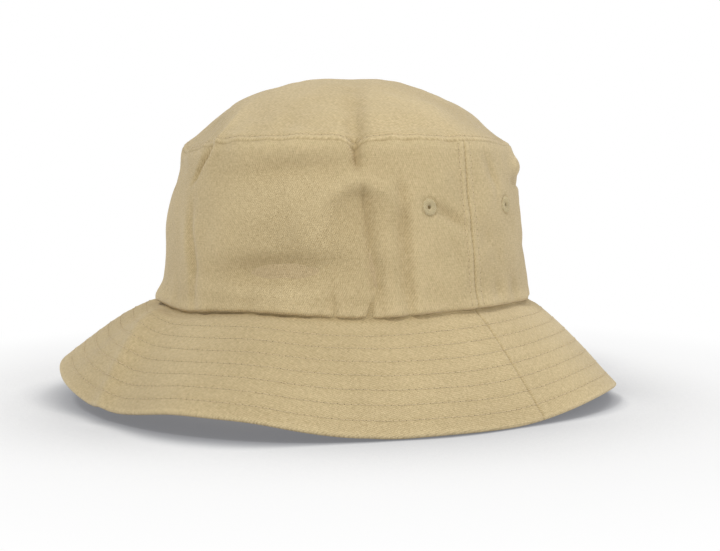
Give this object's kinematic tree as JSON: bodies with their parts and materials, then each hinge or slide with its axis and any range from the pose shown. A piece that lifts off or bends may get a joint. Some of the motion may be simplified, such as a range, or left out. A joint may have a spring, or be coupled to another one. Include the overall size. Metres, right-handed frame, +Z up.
{
  "type": "bucket hat",
  "caption": "Cotton twill bucket hat: flat-sided crown with a domed top panel, sewn eyelets at each side, sweatband inside and a stiffened, row-stitched, downward-sloping brim.",
  "frame": {"origin": "middle of the brim's outline, at the level of the surface the hat stands on; the crown's axis is 0.2 mm from it in X and 1.7 mm in Y", "axes": "+Z up out of the crown, -Y the front of the hat, +X the wearer's left"},
  "size_m": [0.2752, 0.289, 0.1639],
  "materials": {
    "twill": "khaki cotton twill, matt",
    "twill_inside": "the same twill, brim underside and sweatband",
    "thread": "matching sewing thread",
    "tape": "plain-woven cotton seam tape",
    "interfacing": "white non-woven stiffener",
    "label": "blank satin-woven label"
  },
  "bodies": {
    "hat": {"crown_top_panel": "twill", "crown_side_front": "twill", "crown_side_back": "twill", "brim_upper_front": "twill", "brim_upper_back": "twill", "brim_interfacing_front": "interfacing", "brim_interfacing_back": "interfacing", "brim_lower_front": "twill_inside", "brim_lower_back": "twill_inside", "sweatband": "twill_inside", "top_seam_tape": "tape", "side_seam_tape_left": "tape", "side_seam_tape_right": "tape", "eyelet_left_front": "thread", "eyelet_left_back": "thread", "eyelet_right_front": "thread", "eyelet_right_back": "thread", "brim_stitch_row_1": "thread", "brim_stitch_row_2": "thread", "brim_stitch_row_3": "thread", "brim_stitch_row_4": "thread", "brim_stitch_row_5": "thread", "brim_stitch_row_6": "thread", "brim_stitch_row_7": "thread", "top_seam_stitch": "thread", "side_stitch_left_front": "thread", "side_stitch_left_back": "thread", "side_stitch_right_front": "thread", "side_stitch_right_back": "thread", "sweatband_stitch": "thread"},
    "label": {"care_label": "label"}
  },
  "joints": [
    {"name": "label_flap", "type": "hinge", "parent": "hat", "child": "label", "pos_m": [-0.0002, 0.09323, 0.07661], "axis": [-1, 0, 0], "range_deg": [0, 150]}
  ]
}
